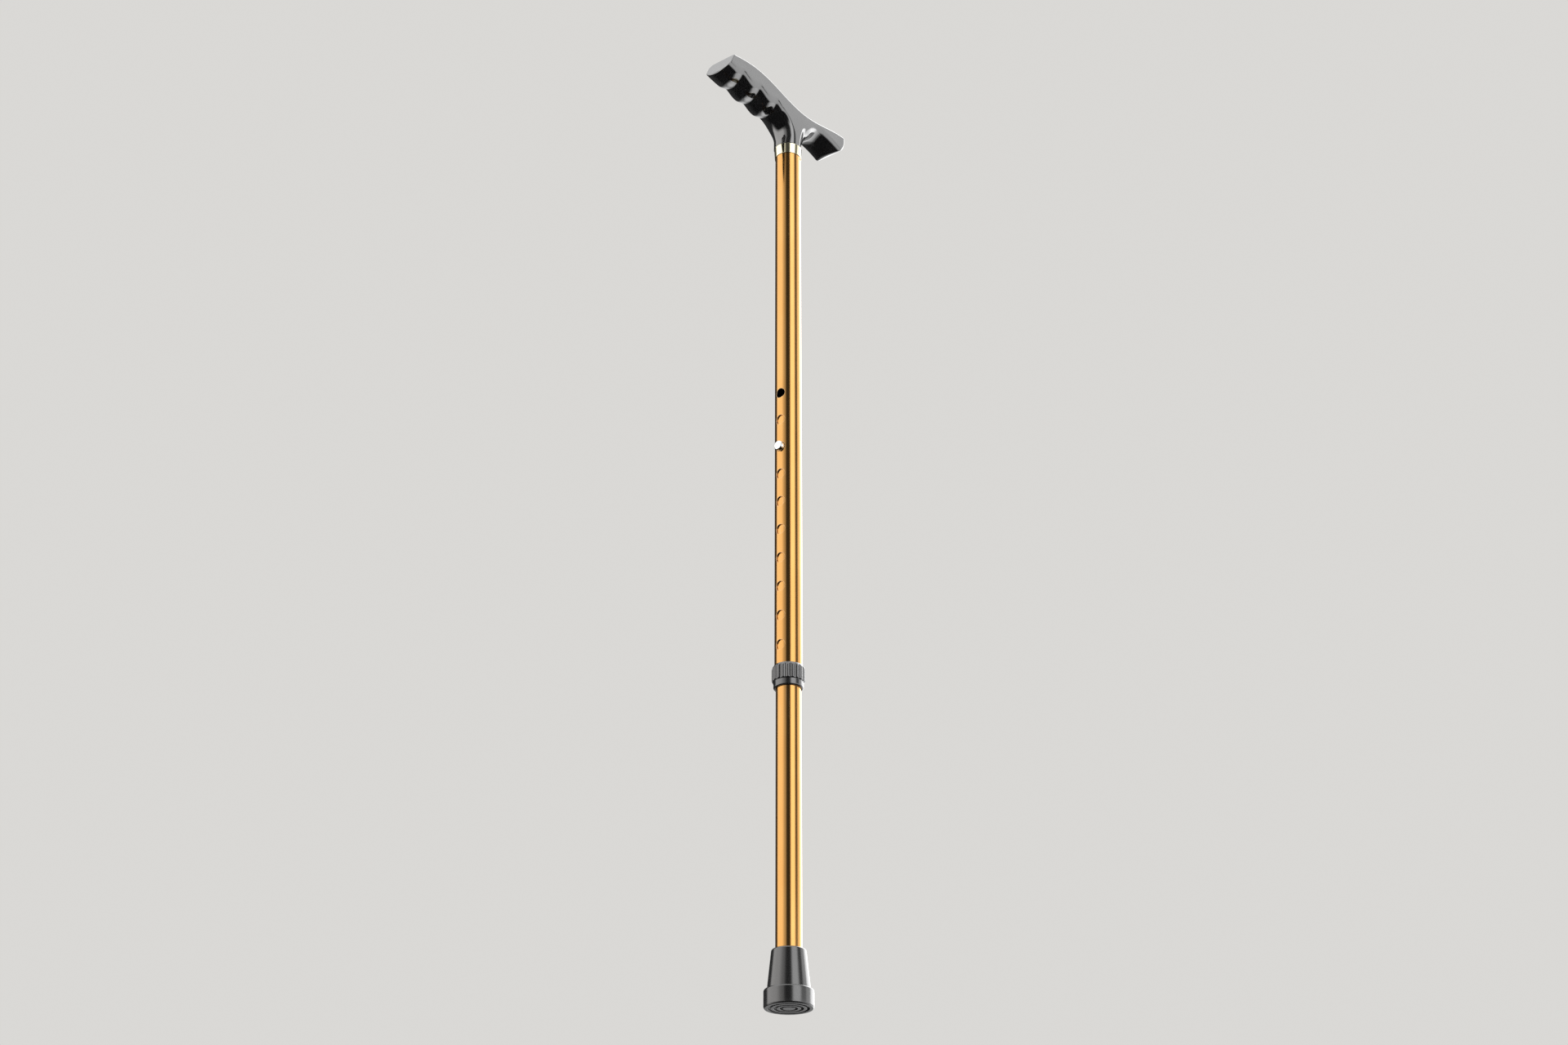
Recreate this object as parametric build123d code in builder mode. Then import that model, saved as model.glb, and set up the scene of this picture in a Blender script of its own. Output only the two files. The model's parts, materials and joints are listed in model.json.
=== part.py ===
"""Single point walking cane: a moulded Derby handle on a height-adjustable tube pair.

Millimetres, +Z up, +X towards the nose of the handle. The origin is the centre of the
rubber tip's ground face, on the shaft's axis. The lower tube slides inside the upper one,
a sprung button in the lower tube snaps into one of ten holes, and a ribbed nut squeezes
a split ring onto the lower tube.
"""

import os
from math import cos, pi, sin, sqrt

from build123d import *

os.makedirs("parts", exist_ok=True)

# Shaft
upper_outer_r = 22.2 / 2  # 7/8 inch tube
upper_wall = 1.02
upper_bore_r = upper_outer_r - upper_wall
upper_bottom_z = 260.0
upper_top_z = 769.1
lower_outer_r = 20.0 / 2
lower_wall = 1.2
lower_bore_r = lower_outer_r - lower_wall
lower_top_z = 502.0
slide_gap = 0.08  # radial clearance of every running fit

# Height adjustment
hole_count = 10
hole_pitch = 25.4
hole_r = 4.3
top_hole_z = 515.0
button_hole = 3  # the hole that the button sits in, counted from the top
button_z = top_hole_z - (button_hole - 1) * hole_pitch
button_r = 4.0
button_face_x = 14.3
button_flange_r = 5.2
button_flange_x = 6.9
button_flange_t = 1.0
button_edge_r = 1.0

# Spring clip behind the button
clip_t = 0.6
clip_half_width = 3.5
clip_pad_x = button_flange_x - button_flange_t - clip_t / 2
clip_pad_half = 6.0
clip_back_x = -7.5
clip_bend_z = button_z - 36.0
clip_back_top_z = button_z + 14.0

# Rubber tip
tip_height = 43.9
tip_foot_r = 18.1
flange_r = 18.7
flange_height = 13.9
cone_base_r = 16.2
cone_top_r = 13.0
tip_rim_r = 11.4
tip_socket_z = 8.0
washer_t = 2.0
tread_depth = 1.6
tread_rings = [(4.6, 6.6), (9.0, 11.0), (13.4, 15.4)]

# Locking nut and the split ring inside it
nut_bottom_z = 251.7
nut_neck_r = 11.9
nut_neck_top_z = 257.6
nut_flute_r = 12.45
nut_rib_r = 13.2
nut_rib_count = 20
nut_rib_radius = 1.6
nut_rib_bottom_z = 257.0
nut_shoulder_z = 268.3
nut_top_z = 270.8
nut_top_r = 11.6
nut_neck_round = 1.2
nut_lip_z = 253.6
ring_bottom_z = 253.8
ring_top_z = 259.8
ring_bottom_r = 10.75
ring_top_r = 11.0
ring_slit = 1.5

# Collar ring under the handle
collar_bottom_z = 759.3
collar_top_r = 12.2
collar_bottom_r = 11.6

# Plug and screw that hold the handle
plug_length = 40.0
screw_r = 2.5
screw_length = 66.0
screw_head_r = 4.6
screw_head_h = 3.6
screw_socket_r = 2.0
screw_socket_depth = 2.2
screw_tip_z = upper_top_z - plug_length + screw_length

# Handle
handle_half_width = 14.0
handle_edge_r = 1.5
top_low_z = 807.3
top_rise = 9.3
saddle_x = -6.0
nose_span = 66.0  # from the saddle's lowest point to the highest point of the nose
tail_span = 64.0
nose_top_x = 92.5
nose_lean = 0.42  # how far the nose face leans forward for each mm that it drops
tail_end_x = -67.0
stem_r = 12.2
front_blend_r = 18.0
front_blend_z = 773.0
back_blend_r = 14.0
tail_under_z = 799.0
tail_flare = 0.0059  # how fast the tail thickens, per mm squared
tail_flat_x = -30.0
finger_pitch = 21.2
finger_count = 2  # whole bulges between valleys; a longer one ends at the nose
finger_valley_x = 32.0
finger_valley_z = 788.4
finger_rise = 0.102
finger_depth = 2.5
nose_bulge_length = 32.0
nose_bulge_depth = 2.2
front_arc = 12.0  # sag of the rounded underside ahead of the stem
tail_arc = 4.0


def ease(t):
    """Smooth step from 0 to 1."""
    t = min(max(t, 0.0), 1.0)
    return t * t * (3 - 2 * t)


def top_z(x):
    """Height of the handle's top: a saddle over the stem between two raised ends."""
    span = nose_span if x > saddle_x else tail_span
    return top_low_z + top_rise * (1 - cos(pi * (x - saddle_x) / span)) / 2


def under_z(x):
    """Lowest point of the handle's section at x: finger bulges in front, a flared tail behind."""
    if x >= finger_valley_x:
        last_valley_x = finger_valley_x + finger_count * finger_pitch
        bulge = finger_depth * abs(sin(pi * (x - finger_valley_x) / finger_pitch)) ** 1.3
        if x > last_valley_x:
            bulge = nose_bulge_depth * sin(pi * (x - last_valley_x) / nose_bulge_length)
        return finger_valley_z + finger_rise * (x - finger_valley_x) - bulge
    if x >= tail_flat_x:
        back = ease((finger_valley_x - x) / (finger_valley_x - tail_flat_x))
        return finger_valley_z + (tail_under_z - finger_valley_z) * back
    return tail_under_z - tail_flare * (x - tail_flat_x) ** 2


def arc_sag(x):
    """How far the rounded underside bulges below the side walls at x."""
    return tail_arc + (front_arc - tail_arc) * ease((x - tail_flat_x) / (finger_valley_x - tail_flat_x))


def stem_front_x(z):
    """Front of the stem at height z: a large arc that runs out under the nose."""
    rise = min(max(z - front_blend_z, 0.0), front_blend_r)
    return stem_r + front_blend_r - sqrt(front_blend_r**2 - rise**2)


def stem_back_x(z):
    """Back of the stem at height z: a tighter arc that runs out under the tail."""
    rise = min(max(z - (tail_under_z - back_blend_r), 0.0), back_blend_r)
    return -stem_r - back_blend_r + sqrt(back_blend_r**2 - rise**2)


def write(part, name):
    """Label one finished piece and write its STEP file."""
    part.label = name
    export_step(part, f"parts/{name}.step")


# ---------------------------------------------------------------- handle grip
finger_xs = [finger_valley_x + finger_pitch * k / 4 for k in range(4 * finger_count + 1)]
bar_xs = [-72, -62, -54, -46, -38, -30, -18, -6, 8, 20] + finger_xs + [80, 86, 92, 98, 103]
stem_levels = [upper_top_z, 772, 775, 778, 781, 784, 787, 790, 794, 799, 804]
with BuildPart() as handle_grip:
    for x in bar_xs:
        wall_z = under_z(x) + arc_sag(x)
        with BuildSketch(Plane.YZ.offset(x)):
            with BuildLine():
                Polyline(
                    (handle_half_width, wall_z),
                    (handle_half_width, top_z(x)),
                    (-handle_half_width, top_z(x)),
                    (-handle_half_width, wall_z),
                )
                ThreePointArc((-handle_half_width, wall_z), (0, under_z(x)), (handle_half_width, wall_z))
            make_face()
    loft()
    # Trim the ends: a leaning flat nose and a tail with a rounded lower corner
    with BuildSketch(Plane.XZ):
        with BuildLine():
            nose_foot = (nose_top_x + nose_lean * (top_z(nose_top_x) - 780), 780)
            nose_head = (nose_top_x - nose_lean * (830 - top_z(nose_top_x)), 830)
            Polyline((tail_end_x + 13, 780), nose_foot, nose_head, (tail_end_x, 830), (tail_end_x, 812))
            ThreePointArc((tail_end_x, 812), (tail_end_x + 3.2, 801.5), (tail_end_x + 13, 795.4))
            Line((tail_end_x + 13, 795.4), (tail_end_x + 13, 780))
        make_face()
    extrude(amount=2 * handle_half_width, both=True, mode=Mode.INTERSECT)
    top_edges = handle_grip.edges().filter_by(
        lambda e: e.length > 50 and e.center().Z > 803 and abs(abs(e.center().Y) - handle_half_width) < 0.5
    )
    fillet(top_edges, radius=handle_edge_r)
    for z in stem_levels:
        front_x = stem_front_x(z)
        back_x = stem_back_x(z)
        widen = ease((z - upper_top_z) / (stem_levels[-1] - upper_top_z))
        with BuildSketch(Plane.XY.offset(z)):
            with Locations(((front_x + back_x) / 2, 0)):
                Ellipse((front_x - back_x) / 2, stem_r + widen * (handle_half_width - 0.4 - stem_r))
    loft()
    # Pilot hole for the fixing screw
    with BuildSketch(Plane.XY.offset(upper_top_z)):
        Circle(screw_r)
    extrude(amount=screw_tip_z - upper_top_z, mode=Mode.SUBTRACT)
write(handle_grip.part, "handle_grip")

# ---------------------------------------------------------------- collar ring
with BuildPart() as collar_ring:
    with BuildSketch(Plane.XZ):
        with BuildLine():
            Polyline(
                (upper_outer_r, collar_bottom_z),
                (collar_bottom_r, collar_bottom_z),
                (collar_top_r, upper_top_z),
                (upper_outer_r, upper_top_z),
                close=True,
            )
        make_face()
    revolve()
    fillet(collar_ring.edges().group_by(Axis.Z)[0].sort_by(SortBy.RADIUS)[-1], radius=0.3)
write(collar_ring.part, "collar_ring")

# ---------------------------------------------------------------- handle plug and its screw
plug_bottom_z = upper_top_z - plug_length
with BuildPart() as handle_plug:
    with BuildSketch(Plane.XY.offset(plug_bottom_z)):
        Circle(upper_bore_r)
        Circle(screw_r, mode=Mode.SUBTRACT)
    extrude(amount=plug_length)
    chamfer(handle_plug.edges().group_by(Axis.Z)[0].sort_by(SortBy.RADIUS)[-1], length=0.8)
write(handle_plug.part, "handle_plug")

with BuildPart() as handle_screw:
    with BuildSketch(Plane.XY.offset(plug_bottom_z)):
        Circle(screw_r)
    extrude(amount=screw_tip_z - plug_bottom_z)
    chamfer(handle_screw.edges().group_by(Axis.Z)[-1], length=1.2)
    with BuildSketch(Plane.XY.offset(plug_bottom_z - screw_head_h)):
        Circle(screw_head_r)
    extrude(amount=screw_head_h)
    fillet(handle_screw.edges().group_by(Axis.Z)[0], radius=0.8)
    with BuildSketch(Plane.XY.offset(plug_bottom_z - screw_head_h)):
        RegularPolygon(screw_socket_r, 6)
    extrude(amount=screw_socket_depth, mode=Mode.SUBTRACT)
write(handle_screw.part, "handle_screw")

# ---------------------------------------------------------------- upper tube with its row of holes
with BuildPart() as upper_tube:
    with BuildSketch(Plane.XY.offset(upper_bottom_z)):
        Circle(upper_outer_r)
        Circle(upper_bore_r, mode=Mode.SUBTRACT)
    extrude(amount=upper_top_z - upper_bottom_z)
    with BuildSketch(Plane.YZ):
        for index in range(hole_count):
            with Locations((0, top_hole_z - index * hole_pitch)):
                Circle(hole_r)
    extrude(amount=upper_outer_r + 1, mode=Mode.SUBTRACT)
write(upper_tube.part, "upper_tube")

# ---------------------------------------------------------------- lower tube
with BuildPart() as lower_tube:
    with BuildSketch(Plane.XY.offset(tip_socket_z + washer_t)):
        Circle(lower_outer_r)
        Circle(lower_bore_r, mode=Mode.SUBTRACT)
    extrude(amount=lower_top_z - tip_socket_z - washer_t)
    with BuildSketch(Plane.YZ):
        with Locations((0, button_z)):
            Circle(button_r + slide_gap)
    extrude(amount=lower_outer_r + 1, mode=Mode.SUBTRACT)
write(lower_tube.part, "lower_tube")

# ---------------------------------------------------------------- snap button and its spring clip
with BuildPart() as snap_button:
    with BuildSketch(Plane.YZ.offset(button_flange_x - button_flange_t)):
        with Locations((0, button_z)):
            Circle(button_flange_r)
    extrude(amount=button_flange_t)
    with BuildSketch(Plane.YZ.offset(button_flange_x)):
        with Locations((0, button_z)):
            Circle(button_r)
    extrude(amount=button_face_x - button_flange_x)
    fillet(snap_button.edges().group_by(Axis.X)[-1], radius=button_edge_r)
write(snap_button.part, "snap_button")

with BuildPart() as button_spring:
    with BuildSketch(Plane.XZ):
        with BuildLine():
            FilletPolyline(
                (clip_pad_x, button_z + clip_pad_half),
                (clip_pad_x, button_z - clip_pad_half),
                (clip_back_x + 4.0, clip_bend_z),
                (clip_back_x, clip_bend_z),
                (clip_back_x, clip_back_top_z),
                radius=1.9,
            )
        trace(line_width=clip_t)
    extrude(amount=clip_half_width, both=True)
write(button_spring.part, "button_spring")

# ---------------------------------------------------------------- split ring
with BuildPart() as compression_ring:
    with BuildSketch(Plane.XZ):
        with BuildLine():
            Polyline(
                (lower_outer_r + slide_gap, ring_bottom_z),
                (ring_bottom_r, ring_bottom_z),
                (ring_top_r, ring_top_z),
                (lower_outer_r + slide_gap, ring_top_z),
                close=True,
            )
        make_face()
    revolve()
    with BuildSketch(Plane.XY.offset(ring_bottom_z)):
        with Locations((-ring_top_r, 0)):
            Rectangle(4, ring_slit)
    extrude(amount=ring_top_z - ring_bottom_z, mode=Mode.SUBTRACT)
write(compression_ring.part, "compression_ring")

# ---------------------------------------------------------------- locking nut
with BuildPart() as locking_nut:
    with BuildSketch(Plane.XY.offset(nut_rib_bottom_z + nut_rib_radius)):
        with PolarLocations(nut_rib_r - nut_rib_radius, nut_rib_count):
            Circle(nut_rib_radius)
    extrude(amount=nut_top_z - nut_rib_bottom_z - nut_rib_radius)
    with Locations(Plane.XY.offset(nut_rib_bottom_z + nut_rib_radius)):
        with PolarLocations(nut_rib_r - nut_rib_radius, nut_rib_count):
            Sphere(nut_rib_radius)
    with BuildSketch(Plane.XZ):
        with BuildLine():
            Polyline(
                (lower_outer_r + 1, nut_neck_top_z - 0.6),
                (nut_flute_r - 0.6, nut_neck_top_z - 0.6),
                (nut_flute_r, nut_neck_top_z),
                (nut_flute_r, nut_top_z),
                (lower_outer_r + 1, nut_top_z),
                close=True,
            )
        make_face()
    revolve()
    # Shoulder: everything above is turned down to a cone
    with BuildSketch(Plane.XZ):
        with BuildLine():
            Polyline(
                (0, nut_bottom_z),
                (nut_rib_r + 1, nut_bottom_z),
                (nut_rib_r + 1, nut_shoulder_z),
                (nut_rib_r, nut_shoulder_z),
                (nut_top_r, nut_top_z),
                (0, nut_top_z),
                close=True,
            )
        make_face()
    revolve(mode=Mode.INTERSECT)
    # Neck with a rounded lower end
    with BuildSketch(Plane.XZ):
        with BuildLine():
            Polyline(
                (0, nut_bottom_z),
                (nut_neck_r, nut_bottom_z),
                (nut_neck_r, nut_shoulder_z),
                (0, nut_shoulder_z),
                close=True,
            )
        make_face()
    revolve()
    fillet(locking_nut.edges().group_by(Axis.Z)[0].sort_by(SortBy.RADIUS)[-1], radius=nut_neck_round)
    # Bore: lip round the lower tube, conical seat for the ring, threaded stretch round the upper tube
    with BuildSketch(Plane.XZ):
        with BuildLine():
            Polyline(
                (0, nut_bottom_z),
                (lower_outer_r + 2 * slide_gap, nut_bottom_z),
                (lower_outer_r + 2 * slide_gap, nut_lip_z),
                (ring_bottom_r + slide_gap, nut_lip_z),
                (ring_top_r + slide_gap, ring_top_z),
                (upper_outer_r + slide_gap, ring_top_z),
                (upper_outer_r + slide_gap, nut_top_z),
                (0, nut_top_z),
                close=True,
            )
        make_face()
    revolve(mode=Mode.SUBTRACT)
write(locking_nut.part, "locking_nut")

# ---------------------------------------------------------------- rubber tip and the washer in its socket
with BuildPart() as rubber_tip:
    with BuildSketch(Plane.XZ):
        with BuildLine():
            Polyline(
                (0, 0),
                (tip_foot_r, 0),
                (flange_r, 1.2),
                (flange_r, flange_height),
                (cone_base_r, flange_height),
                (cone_top_r, tip_height),
                (0, tip_height),
                close=True,
            )
        make_face()
    revolve()
    fillet(rubber_tip.edges().group_by(Axis.Z)[-1], radius=cone_top_r - tip_rim_r)
    flange_top = rubber_tip.edges().filter_by_position(Axis.Z, flange_height - 0.1, flange_height + 0.1)
    fillet(flange_top.sort_by(SortBy.RADIUS)[-1], radius=1.6)
    with BuildSketch(Plane.XY.offset(tip_socket_z)):
        Circle(lower_outer_r)
    extrude(amount=tip_height - tip_socket_z, mode=Mode.SUBTRACT)
    for inner_r, outer_r in tread_rings:
        with BuildSketch(Plane.XY):
            Circle(outer_r)
            Circle(inner_r, mode=Mode.SUBTRACT)
        extrude(amount=tread_depth, mode=Mode.SUBTRACT)
write(rubber_tip.part, "rubber_tip")

with BuildPart() as tip_washer:
    with BuildSketch(Plane.XY.offset(tip_socket_z)):
        Circle(lower_outer_r)
    extrude(amount=washer_t)
write(tip_washer.part, "tip_washer")
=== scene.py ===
"""Looks of the single point walking cane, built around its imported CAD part.

The row frame is in metres, +Z up the shaft and +X towards the nose of the handle. Shapes are worked out in
millimetres round the shaft's axis and scaled down when they become meshes.
"""

import json
import math

import bpy
import numpy as np
from mathutils import Matrix, Vector

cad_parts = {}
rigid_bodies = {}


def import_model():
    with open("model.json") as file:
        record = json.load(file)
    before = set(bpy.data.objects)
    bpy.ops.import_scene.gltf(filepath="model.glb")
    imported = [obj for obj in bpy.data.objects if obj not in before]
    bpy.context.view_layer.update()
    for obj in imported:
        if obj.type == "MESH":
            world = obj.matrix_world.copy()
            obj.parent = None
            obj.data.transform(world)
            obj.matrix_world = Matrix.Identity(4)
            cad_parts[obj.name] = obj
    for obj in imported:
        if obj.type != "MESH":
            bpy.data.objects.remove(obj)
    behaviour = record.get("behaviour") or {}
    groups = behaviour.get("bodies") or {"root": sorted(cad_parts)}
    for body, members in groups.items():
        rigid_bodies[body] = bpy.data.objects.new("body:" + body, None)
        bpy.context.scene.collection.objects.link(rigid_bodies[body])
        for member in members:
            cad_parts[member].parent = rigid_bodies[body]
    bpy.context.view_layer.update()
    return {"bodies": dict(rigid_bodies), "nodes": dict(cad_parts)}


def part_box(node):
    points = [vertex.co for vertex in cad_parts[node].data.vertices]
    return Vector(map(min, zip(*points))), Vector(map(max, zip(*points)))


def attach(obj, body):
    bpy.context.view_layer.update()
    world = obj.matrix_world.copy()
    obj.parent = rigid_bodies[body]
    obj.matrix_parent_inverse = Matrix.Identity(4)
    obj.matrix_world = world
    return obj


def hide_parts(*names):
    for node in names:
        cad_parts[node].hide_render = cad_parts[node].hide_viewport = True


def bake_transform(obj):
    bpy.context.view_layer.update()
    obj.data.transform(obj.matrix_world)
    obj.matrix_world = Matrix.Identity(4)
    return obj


MM = 0.001

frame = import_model()


def box_mm(node):
    """Lowest and highest corner of a CAD node, in millimetres."""
    low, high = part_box(node)
    return np.array(low) / MM, np.array(high) / MM


# ---------------------------------------------------------------- mesh helpers
def add_mesh(name, points, faces, normals=None):
    """A smooth-shaded mesh object from points in millimetres. faces is an array of quads; a repeated
    corner makes a triangle. normals are the true surface normals at the points."""
    mesh = bpy.data.meshes.new(name)
    polygons = [tuple(dict.fromkeys(int(i) for i in face)) for face in faces]
    mesh.from_pydata((np.asarray(points) * MM).tolist(), [], polygons)
    mesh.polygons.foreach_set("use_smooth", [True] * len(mesh.polygons))
    mesh.update()
    if normals is not None:
        lengths = np.linalg.norm(normals, axis=1, keepdims=True)
        mesh.normals_split_custom_set_from_vertices((normals / np.maximum(lengths, 1e-12)).tolist())
    piece = bpy.data.objects.new(name, mesh)
    bpy.context.scene.collection.objects.link(piece)
    return piece


def place(piece, node, material):
    """piece stands for a CAD node, moves with its body and takes its material slot's finish."""
    piece.data.materials.append(material)
    for body, empty in frame["bodies"].items():
        if frame["nodes"][node].parent == empty:
            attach(piece, body)
    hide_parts(node)
    return piece


def clamp_to(points, node):
    """points kept inside a CAD node's box."""
    low, high = box_mm(node)
    return np.clip(points, low, high)


def circle(segments):
    """Angles of evenly spaced points round the shaft."""
    return np.arange(segments) * 2 * math.pi / segments


def swept(values, angles):
    """(r, z) pairs carried round the shaft: an array shaped (pairs, angles, 3)."""
    c, s = np.cos(angles)[None, :], np.sin(angles)[None, :]
    r, z = values[:, :1], values[:, 1:]
    return np.stack([r * c, r * s, np.repeat(z, len(angles), 1)], -1)


def loop_quads(rows, columns):
    """Quads of a grid of points that closes both ways: rows round the section, columns round the shaft."""
    i, j = np.meshgrid(np.arange(rows), np.arange(columns), indexing="ij")
    right, up = (j + 1) % columns, (i + 1) % rows
    corners = [i * columns + j, i * columns + right, up * columns + right, up * columns + j]
    return np.stack(corners, -1).reshape(-1, 4)


def sheet_quads(rows, columns):
    """Quads of an open grid of points."""
    i, j = np.meshgrid(np.arange(rows - 1), np.arange(columns - 1), indexing="ij")
    corners = [i * columns + j, i * columns + j + 1, (i + 1) * columns + j + 1, (i + 1) * columns + j]
    return np.stack(corners, -1).reshape(-1, 4)


def rounded(corners, steps):
    """A closed outline with rounded corners. corners are (r, z, radius), counter-clockwise with r to the
    right and z up. Returns the points and their outward normals."""
    count = len(corners)
    spots = np.array([c[:2] for c in corners], float)
    points, normals = [], []
    for i in range(count):
        here, radius = spots[i], corners[i][2]
        before = here - spots[i - 1]
        after = spots[(i + 1) % count] - here
        before /= np.linalg.norm(before)
        after /= np.linalg.norm(after)
        turn = before[0] * after[1] - before[1] * after[0]
        first = np.array([before[1], -before[0]])
        last = np.array([after[1], -after[0]])
        angle = math.acos(max(-1.0, min(1.0, float(before @ after))))
        if angle < 1e-4:
            continue
        back = radius * math.tan(angle / 2)
        centre = here - before * back - first * radius * (1 if turn > 0 else -1)
        for k in range(steps + 1):
            share = k / steps
            n = (math.sin((1 - share) * angle) * first + math.sin(share * angle) * last) / math.sin(angle)
            points.append(centre + n * radius * (1 if turn > 0 else -1))
            normals.append(n)
    return np.array(points), np.array(normals)


def lathe(name, corners, segments=160, steps=5):
    """A ring turned round the shaft from a closed rounded outline."""
    outline, slopes = rounded(corners, steps)
    angles = circle(segments)
    points, normals = swept(outline, angles), swept(slopes, angles)
    faces = loop_quads(len(outline), segments)
    return add_mesh(name, points.reshape(-1, 3), faces, normals.reshape(-1, 3))


def turned_plug(name, corners, segments, steps, centre):
    """A solid turned about a line along X through centre. Its rounded outline starts and ends on that
    line, with corners given as (r, x, radius)."""
    mirrored = [(-r, x, radius) for r, x, radius in corners[1:-1]][::-1]
    outline, slopes = rounded(corners[1:-1] + mirrored, steps)
    half = len(outline) // 2
    outline, slopes = outline[:half], slopes[:half]
    # Each flat end is a disc of rings that shrink onto the axis
    disc_shares = (0, 0.35, 0.75)
    first = [(outline[0][0] * share, outline[0][1]) for share in disc_shares]
    last = [(outline[-1][0] * share, outline[-1][1]) for share in disc_shares[::-1]]
    down, up = [(0, -1)] * len(disc_shares), [(0, 1)] * len(disc_shares)
    angles = circle(segments)
    points = swept(np.array(first + [tuple(p) for p in outline] + last, float), angles)
    normals = swept(np.array(down + [tuple(n) for n in slopes] + up, float), angles)
    index = np.arange(len(points) * segments).reshape(len(points), segments)
    index[0] = index[0][0]
    index[-1] = index[-1][0]
    around = np.roll(index, -1, 1)
    faces = np.stack([index[:-1], around[:-1], around[1:], index[1:]], -1).reshape(-1, 4)
    points = points.reshape(-1, 3)[:, [2, 0, 1]] + np.array(centre, float)
    normals = normals.reshape(-1, 3)[:, [2, 0, 1]]
    used = np.unique(faces)
    renumber = np.zeros(len(points), int)
    renumber[used] = np.arange(len(used))
    return add_mesh(name, points[used], renumber[faces], normals[used])


# ---------------------------------------------------------------- handle: one field, meshed finely
half_width = 14.0
stem_r, stem_half_y, stem_corner_r = 12.2, 12.4, 11.8
stem_foot_z = box_mm("handle_grip")[0][2]
bar_z = 801.0  # the stem ends and its side walls are full width here
saddle_x, top_low_z, top_rise = -6.0, 807.3, 9.3
front_reach, rear_reach = 66.0, 64.0  # from the saddle to the tops of the two raised ends
bulge_x, bulge_z, bulge_slope = 41.5, 788.6, 0.058
nose_lift_x = 84.0
groove_x, groove_pitch, groove_depth, groove_skew = 75.5, 23.6, 3.4, 0.28
first_groove_x = groove_x + groove_pitch / 2
last_groove_x = groove_x - 2 * groove_pitch
stem_front_x, tail_top_x, tail_top_z = 26.0, -30.0, 799.0
nose_top_x, nose_lean = 92.7, 0.42
tail_end_x, tail_corner_r, tail_corner_z = -67.0, 17.5, 812.0
pilot_hole_r = 2.5
handle_cell = 0.45


def ease(t):
    """Smooth step from 0 to 1."""
    t = np.clip(t, 0, 1)
    return t * t * (3 - 2 * t)


def top_z(x):
    """Height of the handle's top: a saddle over the stem between two raised ends."""
    reach = np.where(x > saddle_x, front_reach, rear_reach)
    return top_low_z + top_rise * (1 - np.cos(np.pi * (x - saddle_x) / reach)) / 2


def groove(x, y):
    """Height of the grooves between the finger bulges, which run slightly askew."""
    s = x - groove_skew * y
    wave = (np.sin(np.pi * (s - groove_x) / groove_pitch) ** 2 + 0.012) ** 0.7
    fading = 0.045 + 0.85 * ease((last_groove_x - s) / (14.0 - 0.55 * y))
    wave = np.where(s > first_groove_x, 1.0, np.where(s < last_groove_x, fading, wave))
    return groove_depth * (1 - np.minimum(wave, 1))


def under_z(x, y=0.0):
    """Lowest line of the handle: finger bulges in front, a flared tail behind."""
    front = bulge_z + bulge_slope * (x - bulge_x) + 0.004 * np.maximum(x - nose_lift_x, 0) ** 2
    front = front + groove(x, y)
    middle = front + (tail_top_z - front) * ease((stem_front_x - x) / (stem_front_x - tail_top_x))
    tail = tail_top_z - 0.0059 * (x - tail_top_x) ** 2
    return np.where(x >= tail_top_x, middle, tail)


def belly_field(x, y, z):
    """The rounded underside."""
    low = under_z(x, y)
    sag = 4.0 + 2.4 * ease((x - tail_top_x) / 50.0)
    arc_r = (half_width**2 + sag**2) / (2 * sag)
    arc = np.hypot(y, np.minimum(z - low - arc_r, 0)) - arc_r
    return arc / np.sqrt(1 + slope(under_z, x) ** 2)


def round_max(a, b, r):
    """Intersection of two solids with their shared edge rounded to radius r."""
    corner = np.hypot(np.maximum(a + r, 0), np.maximum(b + r, 0)) - r
    return np.where((a > -r) & (b > -r), corner, np.maximum(a, b))


def round_min(a, b, r):
    """Union of two solids with a round fillet of radius r between them."""
    return np.maximum(r, np.minimum(a, b)) - np.hypot(np.maximum(r - a, 0), np.maximum(r - b, 0))


def slope(f, x):
    """How fast f changes at x."""
    return (f(x + 0.05) - f(x - 0.05)) / 0.1


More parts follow.
